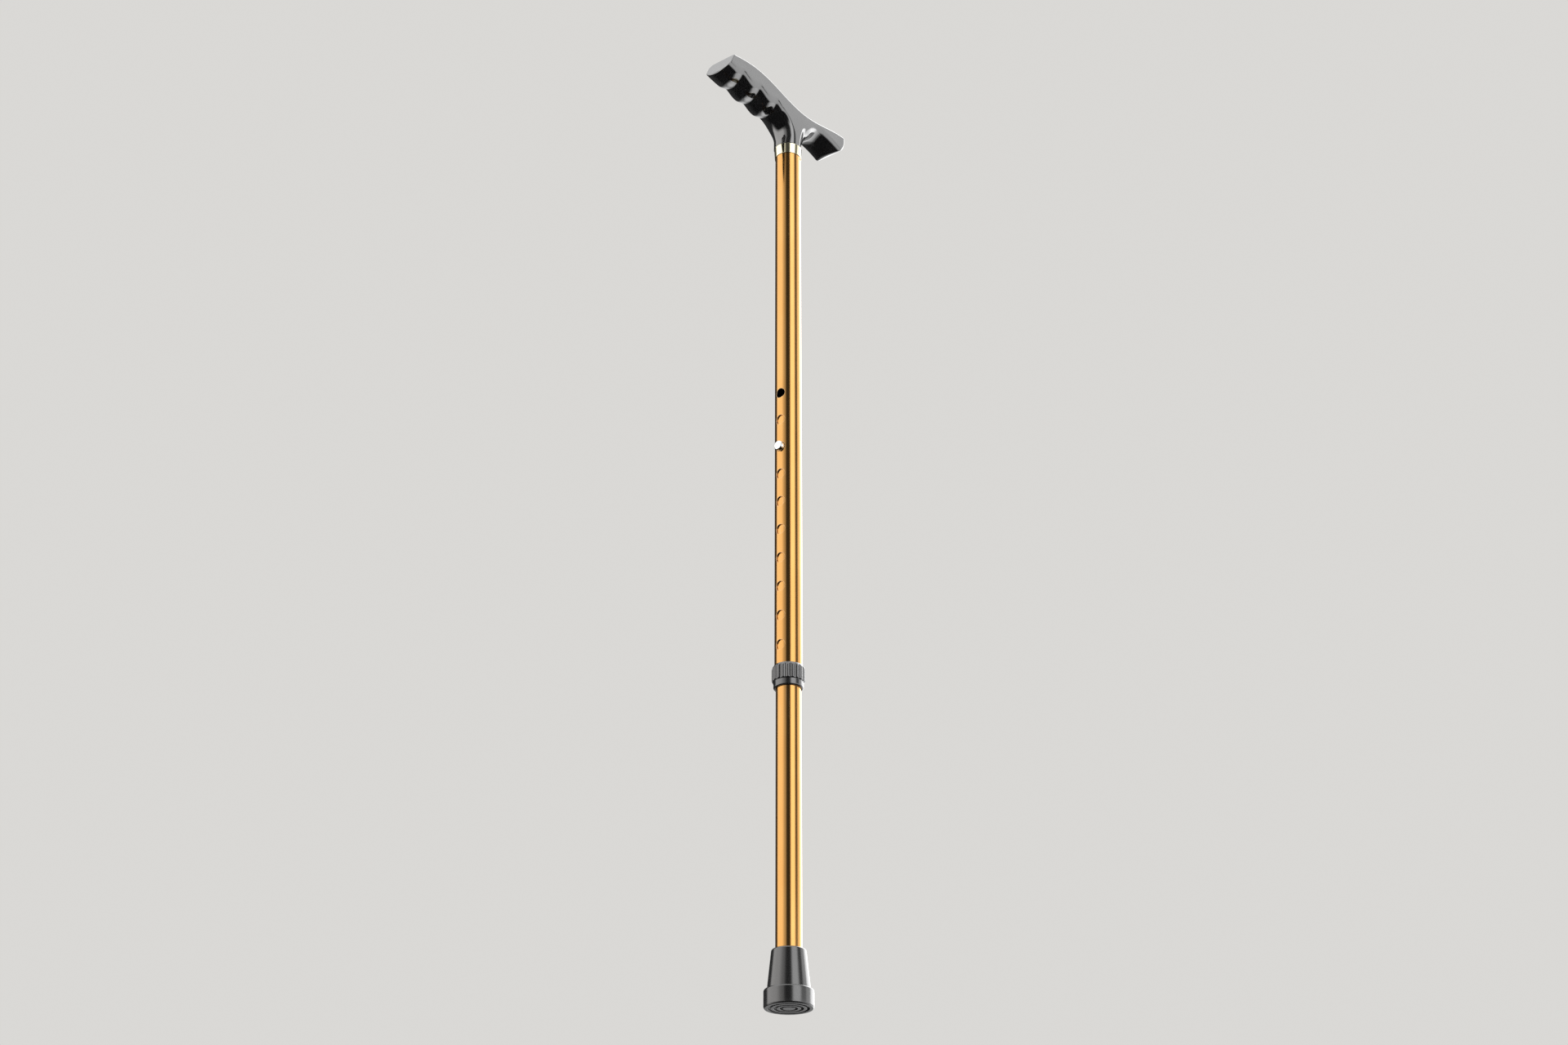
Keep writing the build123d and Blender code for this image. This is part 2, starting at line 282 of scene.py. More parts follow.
def handle_field(x, y, z):
    """Below 0 inside the handle, above 0 outside, about the distance in millimetres."""
    away = np.abs(y)
    belly = belly_field(x, y, z)
    # Stem: round at its foot, with tighter corners on its near side further up, filleted into the bar
    wall_y = half_width - 2.6 * (np.clip(bar_z - z, 0, 32.0) / 32.0) ** 2
    facet = ease((x + 5.0) / 8.0) * (y > 0)
    corner_r = stem_corner_r - 3.3 * facet * ease((z - stem_foot_z) / 16.0)
    stem_y = stem_half_y + facet * (wall_y + 0.8 - stem_half_y)
    stem = round_max(np.abs(x) - stem_r, away - stem_y, corner_r)
    stem = np.maximum(stem, z - bar_z)
    fillet_r = 25.0 - 10.5 * ease((x + 12.0) / 20.0)
    solid = round_min(belly, stem, fillet_r)
    # Flat side walls: crisp edges by the stem and under the bulges, wide soft ones behind the stem
    behind = ease((-x - 1.0) / 9.0)
    edge_r = 0.9 + 1.5 * ease((x - 20.0) / 8.0) + behind * (2.6 + 7.5 * ease((796.0 - z) / 10.0))
    solid = round_max(solid, away - wall_y, edge_r)
    # Slightly domed top, its far edge softer towards the nose
    roof = (z - top_z(x) + 0.35 * (away / half_width) ** 2) / np.sqrt(1 + slope(top_z, x) ** 2)
    solid = round_max(solid, roof, 1.7 + 2.6 * ease(-y / 8.0) * ease((x - 62.0) / 24.0))
    # Leaning nose face, and a tail end with a rounded lower corner
    nose = (x - nose_top_x + nose_lean * (z - top_z(nose_top_x))) / math.sqrt(1 + nose_lean**2)
    solid = round_max(solid, nose, 0.8)
    corner_x = tail_end_x + tail_corner_r
    in_corner = (x < corner_x) & (z < tail_corner_z)
    corner = np.hypot(x - corner_x, z - tail_corner_z) - tail_corner_r
    solid = round_max(solid, np.where(in_corner, corner, tail_end_x - x), 1.6)
    solid = round_max(solid, stem_foot_z - z, 0.25)
    # Pilot hole for the fixing screw
    screw_top_z = box_mm("handle_screw")[1][2]
    drilled = np.maximum(np.hypot(x, y) - pilot_hole_r, z - screw_top_z)
    return np.maximum(solid, -drilled)


def field_slope(field, p, step=0.02):
    """Gradient of a field at points p."""
    parts = []
    for axis in range(3):
        shift = np.zeros(3)
        shift[axis] = step
        parts.append((field(*(p + shift).T) - field(*(p - shift).T)) / (2 * step))
    return np.stack(parts, -1)


def surface_net(field, low, high, cell):
    """Quads on the zero surface of a field: one point in each cell that it crosses, moved onto it."""
    axes = [np.arange(a - 2.5 * cell, b + 2.5 * cell, cell) for a, b in zip(low, high)]
    x, y, z = np.meshgrid(*axes, indexing="ij")
    value = field(x, y, z)
    inside = value < 0
    shape = np.array(value.shape) - 1
    total, hits = np.zeros((*shape, 3)), np.zeros(shape)
    starts = [(i, j, k) for i in (0, 1) for j in (0, 1) for k in (0, 1)]
    for axis in range(3):
        for start in starts:
            if start[axis]:
                continue
            end = tuple(1 if n == axis else start[n] for n in range(3))
            a_at = tuple(slice(s, s + n) for s, n in zip(start, shape))
            b_at = tuple(slice(s, s + n) for s, n in zip(end, shape))
            a, b = value[a_at], value[b_at]
            cross = inside[a_at] != inside[b_at]
            t = np.where(cross, a / np.where(cross, a - b, 1), 0)
            for n in range(3):
                total[..., n] += np.where(cross, start[n] + (t if n == axis else 0), 0)
            hits += cross
    held = hits > 0
    ids = np.full(shape, -1)
    ids[held] = np.arange(held.sum())
    corner = np.argwhere(held)
    origin = np.array([a[0] for a in axes])
    points = origin + (corner + total[held] / hits[held][:, None]) * cell
    faces = []
    for axis in range(3):
        b, c = (axis + 1) % 3, (axis + 2) % 3
        first = [slice(1, n) for n in shape]
        first[axis] = slice(0, shape[axis])
        second = list(first)
        second[axis] = slice(1, shape[axis] + 1)
        out = inside[tuple(first)] != inside[tuple(second)]
        spots = np.argwhere(out) + np.array([0 if n == axis else 1 for n in range(3)])
        outward = inside[tuple(first)][out]
        quad = []
        for db, dc in ((1, 1), (0, 1), (0, 0), (1, 0)):
            at = spots.copy()
            at[:, b] -= db
            at[:, c] -= dc
            quad.append(ids[at[:, 0], at[:, 1], at[:, 2]])
        quad = np.stack(quad, -1)
        faces.append(np.where(outward[:, None], quad, quad[:, ::-1]))
    faces = np.concatenate(faces)
    for _ in range(5):
        gradient = field_slope(field, points)
        square = np.maximum((gradient**2).sum(1), 0.05)
        step = -gradient * (field(*points.T) / square)[:, None]
        length = np.maximum(np.linalg.norm(step, axis=1, keepdims=True), 1e-9)
        points = points + step * np.minimum(1, 0.4 * cell / length)
    return points, faces


points, faces = surface_net(handle_field, *box_mm("handle_grip"), handle_cell)
handle = add_mesh(
    "handle_grip_moulding", clamp_to(points, "handle_grip"), faces, field_slope(handle_field, points)
)


# ---------------------------------------------------------------- tubes with clean round holes
def ring_points(radius, angles, z):
    """Points of a circle, or of an arc of it, round the shaft."""
    return np.stack([radius * np.cos(angles), radius * np.sin(angles), np.zeros(len(angles)) + z], -1)


def drilled_tube(name, outer_r, inner_r, low_z, high_z, hole_zs, hole_r, edge=0.22):
    """A tube with a row of round holes on its +X side, all edges slightly rounded."""
    # Each hole sits in a square patch that is margin wider than it, with per_side quads along a side
    margin, per_side, bend_steps = 2.6, 12, 4
    reach_z = hole_r + margin
    reach = math.asin(reach_z / outer_r)
    rising = sorted(hole_zs)
    grid_points, grid_normals, grid_faces = [], [], []

    def add_grid(p, n, flip):
        """A grid of quads, p and n shaped (rows, columns, 3)."""
        base = sum(len(g) for g in grid_points)
        rows, columns = p.shape[:2]
        grid_points.append(p.reshape(-1, 3))
        grid_normals.append(n.reshape(-1, 3))
        quad = sheet_quads(rows, columns)
        grid_faces.append(base + (quad[:, ::-1] if flip else quad))

    near = np.linspace(-reach, reach, per_side + 1)
    far = np.linspace(reach, 2 * math.pi - reach, 97)
    row_steps = [low_z + edge]
    for hole_z in rising:
        row_steps += list(hole_z + np.linspace(-reach_z, reach_z, per_side + 1))
    row_steps.append(high_z - edge)
    row_steps = np.array(row_steps)

    def radial(angles):
        """Directions away from the shaft's axis."""
        return np.stack([np.cos(angles), np.sin(angles), np.zeros(len(angles))], -1)

    for radius, side in ((outer_r, 1), (inner_r, -1)):
        flip = side < 0
        p = np.array([ring_points(radius, far, z) for z in row_steps])
        add_grid(p, np.repeat((side * radial(far))[None], len(row_steps), 0), flip)
        # Bands between the holes
        bands = [(row_steps[0], rising[0] - reach_z)]
        bands += [(a + reach_z, b - reach_z) for a, b in zip(rising, rising[1:])]
        bands += [(rising[-1] + reach_z, row_steps[-1])]
        for a, b in bands:
            p = np.array([ring_points(radius, near, z) for z in (a, b)])
            add_grid(p, np.repeat((side * radial(near))[None], 2, 0), flip)
        # A square patch round each hole, its rings going from the hole's circle to the square
        line = np.linspace(-1, 1, per_side + 1)
        square = [(1, v) for v in line[:-1]] + [(-v, 1) for v in line[:-1]]
        square += [(-1, -v) for v in line[:-1]] + [(v, -1) for v in line[:-1]]
        square = np.array(square + square[:1])
        around = np.arctan2(square[:, 1] * reach_z, square[:, 0] * reach_z)
        for hole_z in hole_zs:
            rows = []
            for share in (0, 0.06, 0.16, 0.34, 0.62, 1):
                hole_y = (hole_r + edge) * np.cos(around)
                hole_angle = np.arcsin(hole_y / radius)
                hole_up = (hole_r + edge) * np.sin(around)
                angle = hole_angle * (1 - share) + square[:, 0] * reach * share
                up = hole_up * (1 - share) + square[:, 1] * reach_z * share
                rows.append(np.stack([radius * np.cos(angle), radius * np.sin(angle), hole_z + up], -1))
            p = np.array(rows)
            n = p * [1, 1, 0] / radius * side
            add_grid(p, n, side > 0)
    # Hole walls
    count = 4 * per_side
    for hole_z in hole_zs:
        turn = np.append(around[:-1], around[0])
        out_yz = np.stack([np.cos(turn), np.sin(turn)], -1)
        rows, tilts = [], []
        for radius, side in ((outer_r, 1), (inner_r, -1)):
            made, leaned = [], []
            for a in np.linspace(0, math.pi / 2, bend_steps):
                away = hole_r + edge - edge * math.sin(a)
                wide = hole_r + edge
                face_x = np.sqrt(radius**2 - (wide * out_yz[:, 0]) ** 2)
                x = face_x - side * edge * (1 - math.cos(a))
                made.append(np.stack([x, away * out_yz[:, 0], hole_z + away * out_yz[:, 1]], -1))
                skin = np.stack([face_x, wide * out_yz[:, 0], np.zeros(count + 1)], -1) / radius * side
                wall = np.stack([np.zeros(count + 1), -out_yz[:, 0], -out_yz[:, 1]], -1)
                leaned.append(math.cos(a) * skin + math.sin(a) * wall)
            rows += made if side > 0 else made[::-1]
            tilts += leaned if side > 0 else leaned[::-1]
        add_grid(np.array(rows), np.array(tilts), False)
    # Ends
    every = np.concatenate([near, far[1:]])
    for end_z, sign in ((high_z, 1), (low_z, -1)):
        rows, tilts = [], []
        for radius, side in ((outer_r, 1), (inner_r, -1)):
            made, leaned = [], []
            for a in np.linspace(0, math.pi / 2, bend_steps):
                r = radius - side * edge * (1 - math.cos(a))
                made.append(ring_points(r, every, end_z - sign * edge * (1 - math.sin(a))))
                leaned.append(side * math.cos(a) * radial(every) + [0, 0, sign * math.sin(a)])
            rows += made if side > 0 else made[::-1]
            tilts += leaned if side > 0 else leaned[::-1]
        add_grid(np.array(rows), np.array(tilts), sign < 0)
    p, n, f = np.concatenate(grid_points), np.concatenate(grid_normals), np.concatenate(grid_faces)
    # Points that meet at the seams become one
    whole = np.round(p * 1e4).astype(np.int64)
    _, first, same = np.unique(whole, axis=0, return_index=True, return_inverse=True)
    return add_mesh(name, p[first], same.reshape(-1)[f], n[first])


upper_low, upper_high = box_mm("upper_tube")
lower_low, lower_high = box_mm("lower_tube")
button_low, button_high = box_mm("snap_button")
upper_r, lower_r = upper_high[0], lower_high[0]
upper_wall, lower_wall = 1.02, 1.2
button_r, button_flange_t = 4.0, 1.0
button_z = (button_low[2] + button_high[2]) / 2
hole_r, hole_pitch, hole_count, button_hole = 4.3, 25.4, 10, 3
hole_zs = [button_z + hole_pitch * (button_hole - 1 - k) for k in range(hole_count)]
upper_tube = drilled_tube(
    "upper_tube_drawn", upper_r, upper_r - upper_wall, upper_low[2], upper_high[2], hole_zs, hole_r
)
button_hole_r = button_r + 0.08
lower_tube = drilled_tube(
    "lower_tube_drawn", lower_r, lower_r - lower_wall, lower_low[2], lower_high[2], [button_z], button_hole_r
)

# ---------------------------------------------------------------- collar ring
collar_low, collar_high = box_mm("collar_ring")
collar = lathe(
    "collar_ring_turned",
    [
        (upper_r, collar_low[2], 0.1),
        (upper_r + 0.5, collar_low[2], 0.3),
        (collar_high[0], collar_high[2], 0.25),
        (upper_r, collar_high[2], 0.1),
    ],
)

# ---------------------------------------------------------------- snap button
button_flange_x = button_low[0] + button_flange_t
button = turned_plug(
    "snap_button_plated",
    [
        (0, button_low[0], 0),
        (button_high[1], button_low[0], 0.2),
        (button_high[1], button_flange_x, 0.2),
        (button_r, button_flange_x, 0.15),
        (button_r, button_high[0], 1.0),
        (0, button_high[0], 0),
    ],
    segments=96,
    steps=8,
    centre=(0, 0, button_z),
)

# ---------------------------------------------------------------- rubber tip
tip_high = box_mm("rubber_tip")[1]
flange_r, tip_top_z = tip_high[0], tip_high[2]
flange_top_z, cone_foot_r, cone_top_r = 13.9, 16.2, 13.0
socket_z = lower_low[2] - 2.0  # the washer under the tube is 2 mm thick
axis_r = 0.02  # the section stays this far from the axis
tread_depth = 1.6
tread_rings = [(4.6, 6.6), (9.0, 11.0), (13.4, 15.4)]
tip_section = [(axis_r, 0, 0.005)]
for inner_r, outer_r in tread_rings:
    tip_section += [(inner_r, 0, 0.2), (inner_r, tread_depth, 0.2)]
    tip_section += [(outer_r, tread_depth, 0.2), (outer_r, 0, 0.2)]
tip_section += [
    (flange_r - 0.6, 0, 0.5),
    (flange_r, 1.2, 0.8),
    (flange_r, flange_top_z, 1.6),
    (cone_foot_r, flange_top_z, 0.35),
    (cone_top_r, tip_top_z, 1.7),
    (lower_r, tip_top_z, 0.3),
    (lower_r, socket_z, 0.3),
    (axis_r, socket_z, 0.005),
]
tip = lathe("rubber_tip_moulded", tip_section, segments=180, steps=6)

# ---------------------------------------------------------------- locking nut
nut_low, nut_high = box_mm("locking_nut")
nut_bottom_z, nut_top_z = nut_low[2], nut_high[2]
nut_neck_r, nut_flute_r, nut_crest_r, nut_top_r = 11.9, 12.45, nut_high[0], 11.6
nut_foot_round, nut_top_edge = 1.2, 0.12
rib_count, rib_round, rib_low_z = 20, 1.6, 257.0
rib_centre_r = nut_crest_r - rib_round
shoulder_z = 268.3
thread_r, seat_top_r, seat_low_r, lip_r = 11.18, 11.08, 10.83, 10.16
seat_top_z, seat_low_z = 259.8, 253.6


def soft_join(a, b, r):
    """How far a small round of size r moves the meeting line of two radii a and b."""
    gap = np.maximum(r - np.abs(a - b), 0) / r
    return gap * gap * r / 4


def nut_outside(angle, z):
    """Radius of the nut's outside: neck, fluted body with round-ended ribs, and a turned shoulder."""
    step = nut_flute_r - nut_neck_r
    body = nut_neck_r + step * np.clip((z - rib_low_z) / 0.6, 0, 1)
    foot = np.clip((nut_bottom_z + nut_foot_round - z) / nut_foot_round, 0, 1)
    body = body - nut_foot_round * (1 - np.sqrt(1 - foot**2))
    pitch = 2 * math.pi / rib_count
    turn = (angle + pitch / 2) % pitch - pitch / 2
    drop = np.maximum(rib_low_z + rib_round - z, 0)
    reach = rib_round**2 - (rib_centre_r * np.sin(turn)) ** 2 - drop**2
    rib = rib_centre_r * np.cos(turn) + np.sqrt(np.maximum(reach, 1e-9))
    rib = np.where(reach > 0, rib, 0)
    joined = np.maximum(body, rib) + soft_join(body, rib, 0.35)
    cone = nut_crest_r - (z - shoulder_z) * (nut_crest_r - nut_top_r) / (nut_top_z - shoulder_z)
    return np.minimum(joined, cone) - soft_join(joined, cone, 0.5)


def nut_ring(radii, z):
    """A ring of the nut whose radius changes with the angle."""
    return ring_points(1, nut_angles, z) * np.stack([radii, radii, np.ones(len(radii))], -1)


nut_columns = 720
nut_angles = circle(nut_columns)
last_z = nut_top_z - nut_top_edge
# Rows of points up the outside, close together where the outline turns
foot_turn = np.linspace(0, math.pi / 2, 9)
rows = list(nut_bottom_z + nut_foot_round * (1 - np.cos(foot_turn)))
rows += list(np.linspace(253.4, 256.8, 6)) + list(np.linspace(256.95, 258.7, 26))
rows += list(np.linspace(259.2, 267.4, 12)) + list(np.linspace(267.7, last_z, 22))
section = [nut_ring(nut_outside(nut_angles, z), z) for z in rows]
section.append(nut_ring(nut_outside(nut_angles, last_z) - nut_top_edge, nut_top_z))
# Down the bore: the thread, the cone that squeezes the split ring, and the lip round the lower tube
bore = [(thread_r + 0.12, nut_top_z), (thread_r, last_z)]
bore += [(thread_r, seat_top_z + 0.1), (seat_top_r, seat_top_z), (seat_low_r, seat_low_z + 0.1)]
bore += [(seat_low_r - 0.08, seat_low_z), (lip_r + 0.1, seat_low_z), (lip_r, seat_low_z - 0.1)]
bore += [(lip_r, nut_bottom_z + 0.15), (lip_r + 0.15, nut_bottom_z)]
section += [ring_points(r, nut_angles, z) for r, z in bore]
section = np.array(section)
nut = add_mesh(
    "locking_nut_ribbed",
    clamp_to(section.reshape(-1, 3), "locking_nut"),
    loop_quads(len(section), nut_columns),
)


# ---------------------------------------------------------------- materials
def add_node(tree, kind, inputs=None, **settings):
    """A node with its settings made, and its inputs given a value or linked to another node's output."""
    made = tree.nodes.new(kind)
    for key, value in settings.items():
        setattr(made, key, value)
    for key, value in (inputs or {}).items():
        if isinstance(value, bpy.types.NodeSocket):
            tree.links.new(value, made.inputs[key])
        else:
            made.inputs[key].default_value = value
    return made


class Finish:
    """A node material, built a node at a time."""

    def __init__(self, name):
        self.material = bpy.data.materials.new(name)
        self.material.use_nodes = True
        self.tree = self.material.node_tree
        self.tree.nodes.clear()
        self.output = self.tree.nodes.new("ShaderNodeOutputMaterial")
        self.position = self.node("ShaderNodeTexCoord").outputs["Object"]

    def node(self, kind, inputs=None, **settings):
        return add_node(self.tree, kind, inputs, **settings)

    def math(self, operation, a, b=0.0):
        return self.node("ShaderNodeMath", {0: a, 1: b}, operation=operation).outputs[0]

    def times(self, a, b):
        return self.math("MULTIPLY", a, b)

    def plus(self, a, b):
        return self.math("ADD", a, b)

    def length(self, a, b):
        """Length of the vector (a, b)."""
        return self.math("SQRT", self.plus(self.times(a, a), self.times(b, b)))

    def axes(self):
        """The piece's own x, y and z."""
        return self.node("ShaderNodeSeparateXYZ", {0: self.position}).outputs

    def stretch(self, scale):
        """The piece's own coordinates, scaled along each axis."""
        made = self.node("ShaderNodeVectorMath", {0: self.position, 1: scale}, operation="MULTIPLY")
        return made.outputs[0]

    def noise(self, vector, scale, detail=3.0, roughness=0.5):
        inputs = {"Vector": vector, "Scale": scale, "Detail": detail, "Roughness": roughness}
        return self.node("ShaderNodeTexNoise", inputs).outputs["Fac"]

    def remap(self, value, low, high, to_low, to_high):
        """value from low..high to to_low..to_high, with soft ends."""
        inputs = {"Value": value, "From Min": low, "From Max": high, "To Min": to_low, "To Max": to_high}
        made = self.node("ShaderNodeMapRange", inputs, interpolation_type="SMOOTHSTEP")
        return made.outputs["Result"]

    def grit(self, noise, low, high):
        """A noise spread over low..high."""
        return self.remap(noise, 0.3, 0.7, low, high)

    def mix(self, share, a, b):
        """Colour a, with share of colour b."""
        made = self.node("ShaderNodeMix", data_type="RGBA", clamp_factor=True)
        for index, value in ((0, share), (6, a), (7, b)):
            if isinstance(value, bpy.types.NodeSocket):
                self.tree.links.new(value, made.inputs[index])
            else:
                made.inputs[index].default_value = value if index == 0 else (*value, 1)
        return made.outputs[2]

    def bump(self, height, distance, strength, under=None):
        inputs = {"Height": height, "Distance": distance, "Strength": strength}
        if under is not None:
            inputs["Normal"] = under
        return self.node("ShaderNodeBump", inputs).outputs[0]

    def finish(self, **inputs):
        """The material, with these inputs on its shader."""
        named = {key.replace("_", " "): value for key, value in inputs.items()}
        shader = self.node("ShaderNodeBsdfPrincipled")
        for key, value in named.items():
            if isinstance(value, bpy.types.NodeSocket):
                self.tree.links.new(value, shader.inputs[key])
            else:
                shader.inputs[key].default_value = (*value, 1) if isinstance(value, tuple) else value
        self.tree.links.new(shader.outputs[0], self.output.inputs[0])
        return self.material


def gold_aluminium(name, scuffed):
    """Polished aluminium tube, anodised gold: fine draw lines along it, faint dye clouds, light wear."""
    f = Finish(name)
    x, y, z = f.axes()
    lines = f.noise(f.stretch((1400, 1400, 9)), 1.0, 3.0, 0.65)
    broad = f.noise(f.stretch((160, 160, 3)), 1.0, 2.0)
    clouds = f.noise(f.stretch((1, 1, 0.35)), 45.0, 4.0, 0.55)
    smudge = f.noise(f.stretch((1, 1, 0.6)), 110.0, 5.0, 0.6)
    colour = f.mix(f.remap(clouds, 0.35, 0.65, 0, 1), (0.66, 0.345, 0.108), (0.69, 0.38, 0.125))
    colour = f.mix(f.remap(broad, 0.4, 0.7, 0, 0.35), colour, (0.63, 0.315, 0.09))
    grime = f.remap(smudge, 0.62, 0.74, 0, 0.22)
    colour = f.mix(grime, colour, (0.52, 0.29, 0.11))
    rough = f.plus(f.grit(lines, 0.10, 0.16), f.times(grime, 0.35))
    height = f.plus(lines, f.times(broad, 1.5))
    if scuffed:
        # Bright axial rub marks where this tube slides in the other one
        rubs = f.noise(f.stretch((700, 700, 22)), 1.0, 2.0, 0.7)
        rub = f.times(f.remap(rubs, 0.62, 0.70, 0, 0.55), f.remap(z, 0.20, 0.26, 0, 1))
        colour = f.mix(rub, colour, (0.93, 0.80, 0.55))
        rough = f.plus(rough, f.times(rub, 0.12))
    else:
        # The button has rubbed the dye off the rims of the holes
        hole_below = f.math("SUBTRACT", z, (button_z - 20 * hole_pitch) * MM)
        along = f.math("PINGPONG", hole_below, hole_pitch / 2 * MM)
        jag = f.times(f.noise(f.position, 900.0, 2.0), 0.0006)
        rim = f.remap(f.plus(f.length(along, y), jag), 0.0046, 0.0050, 0.55, 0)
        drilled = f.times(f.remap(x, 0.0, 0.004, 0, 1), f.remap(z, 0.262, 0.270, 0, 1))
        drilled = f.times(drilled, f.remap(z, 0.525, 0.521, 0, 1))
        colour = f.mix(f.times(rim, drilled), colour, (0.90, 0.80, 0.62))
    return f.finish(Base_Color=colour, Metallic=1.0, Roughness=rough, Normal=f.bump(height, 0.00002, 0.35))


def pale_brass():
    """Polished pale brass, turned on a lathe and slightly tarnished."""
    f = Finish("pale_brass")
    x, y, z = f.axes()
    angle, along = f.times(f.math("ARCTAN2", y, x), 1.2), f.times(z, 5200.0)
    wrapped = f.node("ShaderNodeCombineXYZ", {0: angle, 1: 0.0, 2: along}).outputs[0]
    turned = f.noise(wrapped, 1.0, 2.0, 0.6)
    tarnish = f.noise(f.position, 260.0, 4.0, 0.6)
    patch = f.remap(tarnish, 0.5, 0.72, 0, 0.35)
    colour = f.mix(patch, (0.97, 0.92, 0.66), (0.80, 0.68, 0.38))
    rough = f.plus(f.grit(turned, 0.07, 0.13), f.times(patch, 0.25))
    return f.finish(Base_Color=colour, Metallic=1.0, Roughness=rough, Normal=f.bump(turned, 0.00002, 0.3))


def gloss_black():
    """Polished black moulded plastic: faint orange peel, hairline scratches, finger marks, dust."""
    f = Finish("gloss_black_plastic")
    peel = f.noise(f.position, 420.0, 2.0, 0.4)
    marks = f.noise(f.stretch((1, 1, 0.7)), 70.0, 5.0, 0.62)
    fine = f.noise(f.stretch((700, 2600, 2600)), 1.0, 2.0, 0.7)
    grid = {"Vector": f.position, "Scale": 520.0}
    dust = f.node("ShaderNodeTexVoronoi", grid, feature="F1").outputs["Distance"]
    speck = f.times(f.remap(dust, 0.04, 0.09, 0.5, 0), f.remap(marks, 0.5, 0.62, 0, 1))
    smear = f.remap(marks, 0.48, 0.68, 0, 1)
    colour = f.mix(smear, (0.0065, 0.0065, 0.007), (0.012, 0.012, 0.0125))
    colour = f.mix(f.times(speck, 0.12), colour, (0.12, 0.12, 0.115))
    rough = f.plus(f.remap(fine, 0.3, 0.75, 0.085, 0.125), f.times(smear, 0.05))
    skin = f.bump(peel, 0.00006, 0.22)
    return f.finish(Base_Color=colour, Roughness=rough, IOR=2.6, Normal=f.bump(fine, 0.000006, 0.25, skin))


def satin_black():
    """Moulded nut plastic: a fine moulded grain, crests of the ribs polished by hands."""
    f = Finish("satin_black_plastic")
    x, y = f.axes()[:2]
    grain = f.noise(f.position, 2600.0, 3.0, 0.6)
    cloud = f.noise(f.position, 210.0, 4.0, 0.6)
    crest = f.remap(f.length(x, y), 0.0129, 0.0132, 0, 1)
    colour = f.mix(cloud, (0.009, 0.009, 0.010), (0.015, 0.015, 0.0165))
    colour = f.mix(f.times(crest, 0.35), colour, (0.03, 0.03, 0.033))
    rough = f.math("SUBTRACT", f.grit(grain, 0.15, 0.22), f.times(crest, 0.03))
    return f.finish(Base_Color=colour, Roughness=rough, IOR=2.2, Normal=f.bump(grain, 0.00002, 0.25))


def black_rubber():
    """Moulded rubber with a slight bloom, scuffed towards the ground."""
    f = Finish("black_rubber")
    z = f.axes()[2]
    grain = f.noise(f.position, 1700.0, 4.0, 0.65)
    bloom = f.noise(f.stretch((1, 1, 0.5)), 90.0, 4.0, 0.6)
    scuff = f.noise(f.stretch((1, 1, 3.0)), 420.0, 5.0, 0.7)
    worn = f.times(f.remap(z, 0.0045, 0.0005, 0, 1), f.remap(scuff, 0.42, 0.66, 0.05, 0.45))
    colour = f.mix(bloom, (0.008, 0.008, 0.0085), (0.013, 0.0127, 0.0127))
    colour = f.mix(worn, colour, (0.03, 0.029, 0.0275))
    rough = f.plus(f.grit(grain, 0.145, 0.19), f.times(bloom, 0.03))
    rough = f.plus(rough, f.times(worn, 0.25))
    skin = f.bump(scuff, 0.00003, 0.15)
    return f.finish(Base_Color=colour, Roughness=rough, IOR=2.1, Normal=f.bump(grain, 0.00002, 0.2, skin))


def plated(name, bright, dull, rough_low, rough_high):
    """Plated or bare steel: a fine grain, and a dull film in patches."""
    f = Finish(name)
    grain = f.noise(f.stretch((1500, 1500, 900)), 1.0, 3.0, 0.6)
    film = f.noise(f.position, 380.0, 4.0, 0.6)
    patch = f.remap(film, 0.48, 0.7, 0, 0.6)
    colour = f.mix(patch, bright, dull)
    rough = f.plus(f.grit(grain, rough_low, rough_high), f.times(patch, 0.12))
    return f.finish(Base_Color=colour, Metallic=1.0, Roughness=rough, Normal=f.bump(grain, 0.00002, 0.3))


def natural_nylon():
    """Cream moulded nylon, slightly waxy."""
    f = Finish("natural_nylon")
    grain = f.noise(f.position, 1500.0, 3.0, 0.6)
    cloud = f.noise(f.position, 150.0, 3.0, 0.5)
    return f.finish(
        Base_Color=f.mix(cloud, (0.62, 0.60, 0.54), (0.72, 0.70, 0.64)),
        Roughness=f.grit(grain, 0.32, 0.48),
        Subsurface_Weight=0.15,
        Subsurface_Scale=0.002,
        Normal=f.bump(grain, 0.00003, 0.4),
    )


# ---------------------------------------------------------------- pieces take their places
place(handle, "handle_grip", gloss_black())
place(collar, "collar_ring", pale_brass())
place(upper_tube, "upper_tube", gold_aluminium("gold_aluminium_upper", scuffed=False))
place(lower_tube, "lower_tube", gold_aluminium("gold_aluminium_lower", scuffed=True))
place(button, "snap_button", plated("bright_nickel", (0.90, 0.895, 0.875), (0.72, 0.71, 0.68), 0.05, 0.10))
place(nut, "locking_nut", satin_black())
place(tip, "rubber_tip", black_rubber())

# The hidden pieces keep their CAD meshes
hidden = {
    "handle_plug": natural_nylon(),
    "compression_ring": natural_nylon(),
    "handle_screw": plated("zinc_steel_screw", (0.66, 0.67, 0.68), (0.50, 0.51, 0.52), 0.22, 0.34),
    "tip_washer": plated("zinc_steel_washer", (0.64, 0.65, 0.66), (0.48, 0.49, 0.50), 0.26, 0.38),
    "button_spring": plated("blued_spring_steel", (0.34, 0.36, 0.42), (0.24, 0.24, 0.27), 0.20, 0.30),
}
for node, material in hidden.items():
    frame["nodes"][node].data.materials.clear()
    frame["nodes"][node].data.materials.append(material)

# A copy of the spring takes the CAD spring's place, with its transform baked into its mesh
steel_spring = frame["nodes"]["button_spring"]
spring = bpy.data.objects.new("button_spring_bent", steel_spring.data.copy())
spring.matrix_world = steel_spring.matrix_world.copy()
bpy.context.scene.collection.objects.link(spring)
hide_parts("button_spring")
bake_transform(spring)

